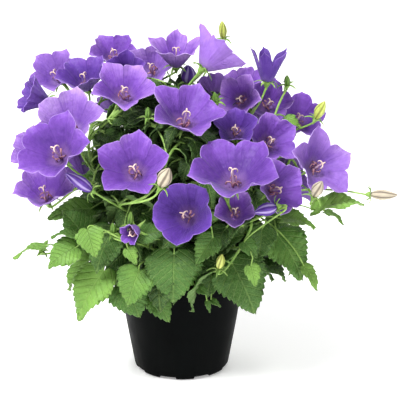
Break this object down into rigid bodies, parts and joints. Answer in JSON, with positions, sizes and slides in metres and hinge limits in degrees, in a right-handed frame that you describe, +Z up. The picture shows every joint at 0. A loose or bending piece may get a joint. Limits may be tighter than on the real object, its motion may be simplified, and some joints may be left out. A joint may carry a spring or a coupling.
{
  "type": "potted carpathian bellflower",
  "caption": "Carpathian bellflower in a round nursery pot: violet open bell blooms and closed buds on thin stems over a mound of toothed heart-shaped leaves.",
  "frame": {"origin": "middle of the flat underside of the pot, on the surface it stands on", "axes": "+Z up along the pot's axis, +Y from the viewer into the picture, +X to the picture's right"},
  "size_m": [0.3326, 0.275, 0.3128],
  "materials": {
    "pot_plastic": "satin",
    "potting_soil": "matte",
    "leaf_green": "satin",
    "violet_petals": "satin",
    "deep_violet_petals": "satin",
    "pale_violet_petals": "satin",
    "cream_bud": "satin",
    "yellow_green_bud": "satin"
  },
  "bodies": {
    "root": {"bloom_01": "violet_petals", "bloom_02": "violet_petals", "bloom_03": "pale_violet_petals", "bloom_04": "deep_violet_petals", "bloom_05": "pale_violet_petals", "bloom_06": "deep_violet_petals", "bloom_07": "violet_petals", "bloom_08": "violet_petals", "bloom_09": "deep_violet_petals", "bloom_10": "pale_violet_petals", "bloom_11": "violet_petals", "bloom_13": "pale_violet_petals", "bloom_14": "pale_violet_petals", "bloom_15": "violet_petals", "bloom_16": "deep_violet_petals", "bloom_17": "violet_petals", "bloom_18": "violet_petals", "bloom_19": "violet_petals", "bloom_20": "violet_petals", "bloom_21": "pale_violet_petals", "bloom_22": "violet_petals", "bloom_23": "violet_petals", "bloom_24": "violet_petals", "bloom_25": "deep_violet_petals", "bloom_26": "violet_petals", "bloom_27": "violet_petals", "bloom_28": "deep_violet_petals", "bloom_29": "violet_petals", "bloom_30": "pale_violet_petals", "bloom_rear_1": "violet_petals", "bloom_rear_2": "violet_petals", "bloom_rear_3": "violet_petals", "bloom_rear_4": "violet_petals", "bloom_rear_5": "violet_petals", "bloom_rear_6": "violet_petals", "bloom_rear_7": "violet_petals", "bud_cream_1": "cream_bud", "bud_cream_2": "cream_bud", "bud_cream_3": "cream_bud", "bud_violet_1": "deep_violet_petals", "bud_violet_2": "deep_violet_petals", "bud_violet_3": "deep_violet_petals", "bud_yellow_1": "yellow_green_bud", "bud_yellow_2": "yellow_green_bud", "bud_yellow_3": "yellow_green_bud", "clump_back": "leaf_green", "clump_front": "leaf_green", "clump_left": "leaf_green", "clump_right": "leaf_green", "pot": "pot_plastic", "soil": "potting_soil"}
  },
  "joints": []
}
